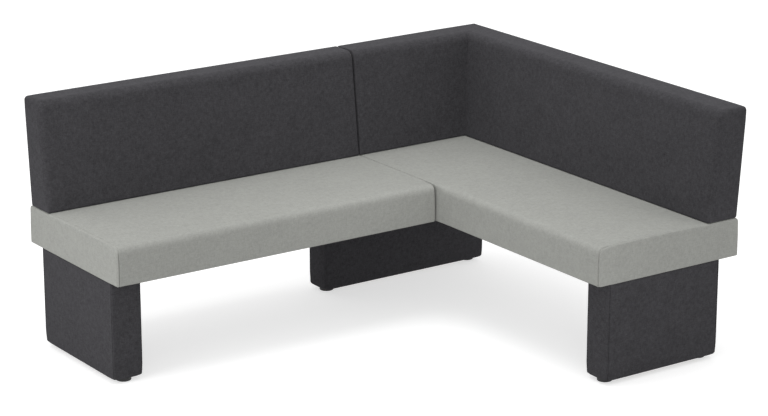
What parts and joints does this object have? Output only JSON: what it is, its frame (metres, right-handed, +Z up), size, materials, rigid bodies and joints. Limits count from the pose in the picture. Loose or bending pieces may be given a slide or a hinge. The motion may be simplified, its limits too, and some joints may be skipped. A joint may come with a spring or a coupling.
{
  "type": "upholstered corner banquette bench",
  "caption": "L-shaped upholstered corner bench: light grey seats and charcoal leaning backs on charcoal slab legs with black levelling feet.",
  "frame": {"origin": "on the floor, under the middle of the whole outline", "axes": "+X along the long wing towards the corner, +Y towards the long wing's back, +Z up"},
  "size_m": [1.8988, 1.5088, 0.868],
  "materials": {
    "seat_fabric": "light grey woven velour, fine mottle",
    "charcoal_fabric": "charcoal woven velour, fine mottle",
    "foam": "cream upholstery foam",
    "plywood": "bare birch plywood",
    "hardboard": "bare hardboard",
    "timber": "planed softwood",
    "dust_cloth": "black nonwoven sheet",
    "steel": "mill finish steel",
    "zinc": "zinc plated steel",
    "foot_plastic": "moulded black plastic"
  },
  "bodies": {
    "bench": {"long_seat_cover": "seat_fabric", "long_seat_foam": "foam", "long_seat_deck": "plywood", "long_seat_leg_boards": "plywood", "long_seat_long_rails": "timber", "long_seat_cross_rails": "timber", "long_seat_dust_sheet": "dust_cloth", "corner_seat_cover": "seat_fabric", "corner_seat_foam": "foam", "corner_seat_deck": "plywood", "corner_seat_leg_boards": "plywood", "corner_seat_long_rails": "timber", "corner_seat_cross_rails": "timber", "corner_seat_dust_sheet": "dust_cloth", "long_back_cover": "charcoal_fabric", "long_back_foam": "foam", "long_back_face_board": "plywood", "long_back_rear_board": "hardboard", "long_back_frame": "timber", "corner_back_cover": "charcoal_fabric", "corner_back_foam": "foam", "corner_back_face_board": "plywood", "corner_back_rear_board": "hardboard", "corner_back_frame": "timber", "right_back_cover": "charcoal_fabric", "right_back_foam": "foam", "right_back_face_board": "plywood", "right_back_rear_board": "hardboard", "right_back_frame": "timber", "left_leg_cover": "charcoal_fabric", "left_leg_boards": "plywood", "left_leg_panels": "plywood", "corner_leg_cover": "charcoal_fabric", "corner_leg_boards": "plywood", "corner_leg_panels": "plywood", "right_leg_cover": "charcoal_fabric", "right_leg_boards": "plywood", "right_leg_panels": "plywood", "back_brackets": "steel", "corner_angles": "steel", "joining_plates": "steel", "bracket_screws": "zinc", "joining_screws": "zinc", "leg_bolts": "zinc", "leg_nuts": "zinc", "foot_nuts": "zinc"},
    "left_front_foot": {"left_front_foot_pad": "foot_plastic", "left_front_foot_stem": "zinc"},
    "left_rear_foot": {"left_rear_foot_pad": "foot_plastic", "left_rear_foot_stem": "zinc"},
    "corner_left_foot": {"corner_left_foot_pad": "foot_plastic", "corner_left_foot_stem": "zinc"},
    "corner_right_foot": {"corner_right_foot_pad": "foot_plastic", "corner_right_foot_stem": "zinc"},
    "right_left_foot": {"right_left_foot_pad": "foot_plastic", "right_left_foot_stem": "zinc"},
    "right_right_foot": {"right_right_foot_pad": "foot_plastic", "right_right_foot_stem": "zinc"}
  },
  "joints": [
    {"name": "left_front_foot_screw", "type": "slide", "parent": "bench", "child": "left_front_foot", "axis": [0, 0, -1], "range_m": [0, 0.015]},
    {"name": "left_rear_foot_screw", "type": "slide", "parent": "bench", "child": "left_rear_foot", "axis": [0, 0, -1], "range_m": [0, 0.015]},
    {"name": "corner_left_foot_screw", "type": "slide", "parent": "bench", "child": "corner_left_foot", "axis": [0, 0, -1], "range_m": [0, 0.015]},
    {"name": "corner_right_foot_screw", "type": "slide", "parent": "bench", "child": "corner_right_foot", "axis": [0, 0, -1], "range_m": [0, 0.015]},
    {"name": "right_left_foot_screw", "type": "slide", "parent": "bench", "child": "right_left_foot", "axis": [0, 0, -1], "range_m": [0, 0.015]},
    {"name": "right_right_foot_screw", "type": "slide", "parent": "bench", "child": "right_right_foot", "axis": [0, 0, -1], "range_m": [0, 0.015]}
  ]
}
